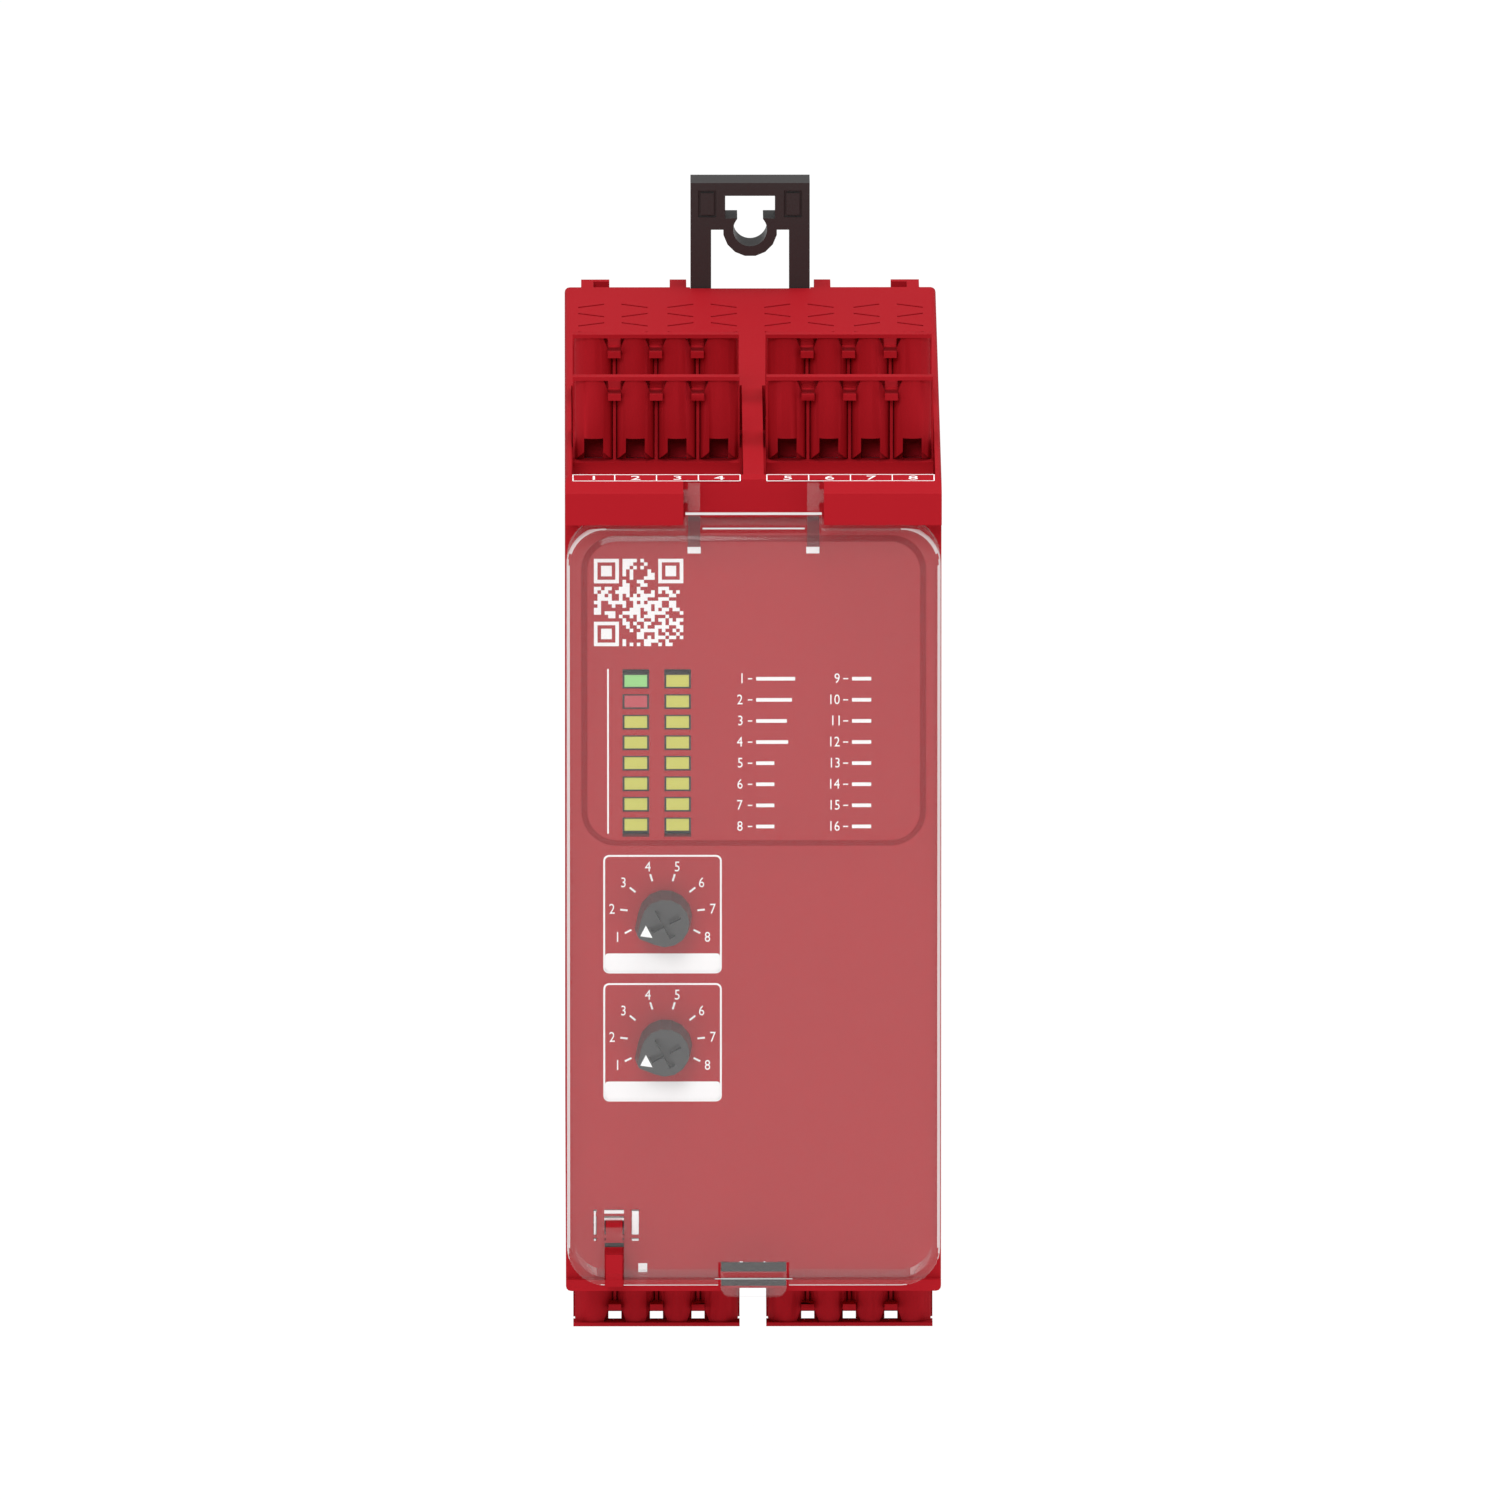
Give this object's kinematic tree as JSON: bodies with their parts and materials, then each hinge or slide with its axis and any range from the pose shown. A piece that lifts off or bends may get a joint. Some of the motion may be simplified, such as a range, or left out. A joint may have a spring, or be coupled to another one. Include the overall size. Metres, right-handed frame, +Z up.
{
  "type": "safety relay",
  "caption": "Rail-mounted safety relay: moulded housing, hinged clear front cover over indicators and two selector knobs, plug-in screw terminals at top and bottom, pull-out fixing lug.",
  "frame": {"origin": "centre of the rail seat on the back of the housing", "axes": "+Y out of the back towards the rail, +Z up, X across the width; the front looks along -Y"},
  "size_m": [0.045, 0.1177, 0.1214],
  "materials": {
    "case_red": "fine moulded red",
    "plug_red": "fine moulded red",
    "cover_clear": "clear polycarbonate",
    "knob_grey": "satin",
    "lug_black": "fine moulded black",
    "liner_white": "matt",
    "switch_dark": "matt",
    "lens_green": "frosted",
    "lens_red": "frosted",
    "lens_yellow": "frosted",
    "clamp_steel": "zinc plated",
    "screw_steel": "zinc plated",
    "pin_brass": "tinned",
    "board_green": "solder mask",
    "relay_blue": "satin"
  },
  "bodies": {
    "housing": {"front_board": "board_green", "housing_shell": "case_red", "inner_liner": "liner_white", "latch_spring": "screw_steel", "led_chips": "liner_white", "led_grid_left": "switch_dark", "led_grid_right": "switch_dark", "led_lens_green": "lens_green", "led_lens_red": "lens_red", "led_lenses_yellow": "lens_yellow", "plug_bottom_front_left_clamps": "clamp_steel", "plug_bottom_front_left_housing": "plug_red", "plug_bottom_front_left_pins": "pin_brass", "plug_bottom_front_left_screws": "screw_steel", "plug_bottom_front_right_clamps": "clamp_steel", "plug_bottom_front_right_housing": "plug_red", "plug_bottom_front_right_pins": "pin_brass", "plug_bottom_front_right_screws": "screw_steel", "plug_bottom_rear_left_clamps": "clamp_steel", "plug_bottom_rear_left_housing": "plug_red", "plug_bottom_rear_left_pins": "pin_brass", "plug_bottom_rear_left_screws": "screw_steel", "plug_bottom_rear_right_clamps": "clamp_steel", "plug_bottom_rear_right_housing": "plug_red", "plug_bottom_rear_right_pins": "pin_brass", "plug_bottom_rear_right_screws": "screw_steel", "plug_top_front_left_clamps": "clamp_steel", "plug_top_front_left_housing": "plug_red", "plug_top_front_left_pins": "pin_brass", "plug_top_front_left_screws": "screw_steel", "plug_top_front_right_clamps": "clamp_steel", "plug_top_front_right_housing": "plug_red", "plug_top_front_right_pins": "pin_brass", "plug_top_front_right_screws": "screw_steel", "plug_top_rear_left_clamps": "clamp_steel", "plug_top_rear_left_housing": "plug_red", "plug_top_rear_left_pins": "pin_brass", "plug_top_rear_left_screws": "screw_steel", "plug_top_rear_right_clamps": "clamp_steel", "plug_top_rear_right_housing": "plug_red", "plug_top_rear_right_pins": "pin_brass", "plug_top_rear_right_screws": "screw_steel", "rear_base": "case_red", "relay_1": "relay_blue", "relay_2": "relay_blue", "relay_3": "relay_blue", "relay_4": "relay_blue", "rotary_switch_lower": "switch_dark", "rotary_switch_upper": "switch_dark", "side_board_left": "board_green", "side_board_right": "board_green", "terminal_board_bottom": "board_green", "terminal_board_top": "board_green"},
    "front_cover": {"front_cover": "cover_clear"},
    "selector_upper": {"selector_knob_upper": "knob_grey"},
    "selector_lower": {"selector_knob_lower": "knob_grey"},
    "fixing_lug": {"fixing_lug": "lug_black"},
    "rail_latch": {"rail_latch": "lug_black"}
  },
  "joints": [
    {"name": "cover_hinge", "type": "hinge", "parent": "housing", "child": "front_cover", "pos_m": [0, -0.1111, 0.0481], "axis": [-1, 0, 0], "range_deg": [0, 100]},
    {"name": "selector_upper_turn", "type": "hinge", "parent": "housing", "child": "selector_upper", "pos_m": [-0.0106, -0.1097, -0.00406], "axis": [0, 1, 0], "range_deg": [0, 235]},
    {"name": "selector_lower_turn", "type": "hinge", "parent": "housing", "child": "selector_lower", "pos_m": [-0.0106, -0.1097, -0.01995], "axis": [0, 1, 0], "range_deg": [0, 235]},
    {"name": "lug_slide", "type": "slide", "parent": "housing", "child": "fixing_lug", "axis": [0, 0, 1], "range_m": [-0.0125, 0]},
    {"name": "latch_slide", "type": "slide", "parent": "housing", "child": "rail_latch", "axis": [0, 0, 1], "range_m": [-0.003, 0], "stiffness_N_per_m": 1000, "springref_m": 0.002, "deforming": ["latch_spring"]}
  ]
}
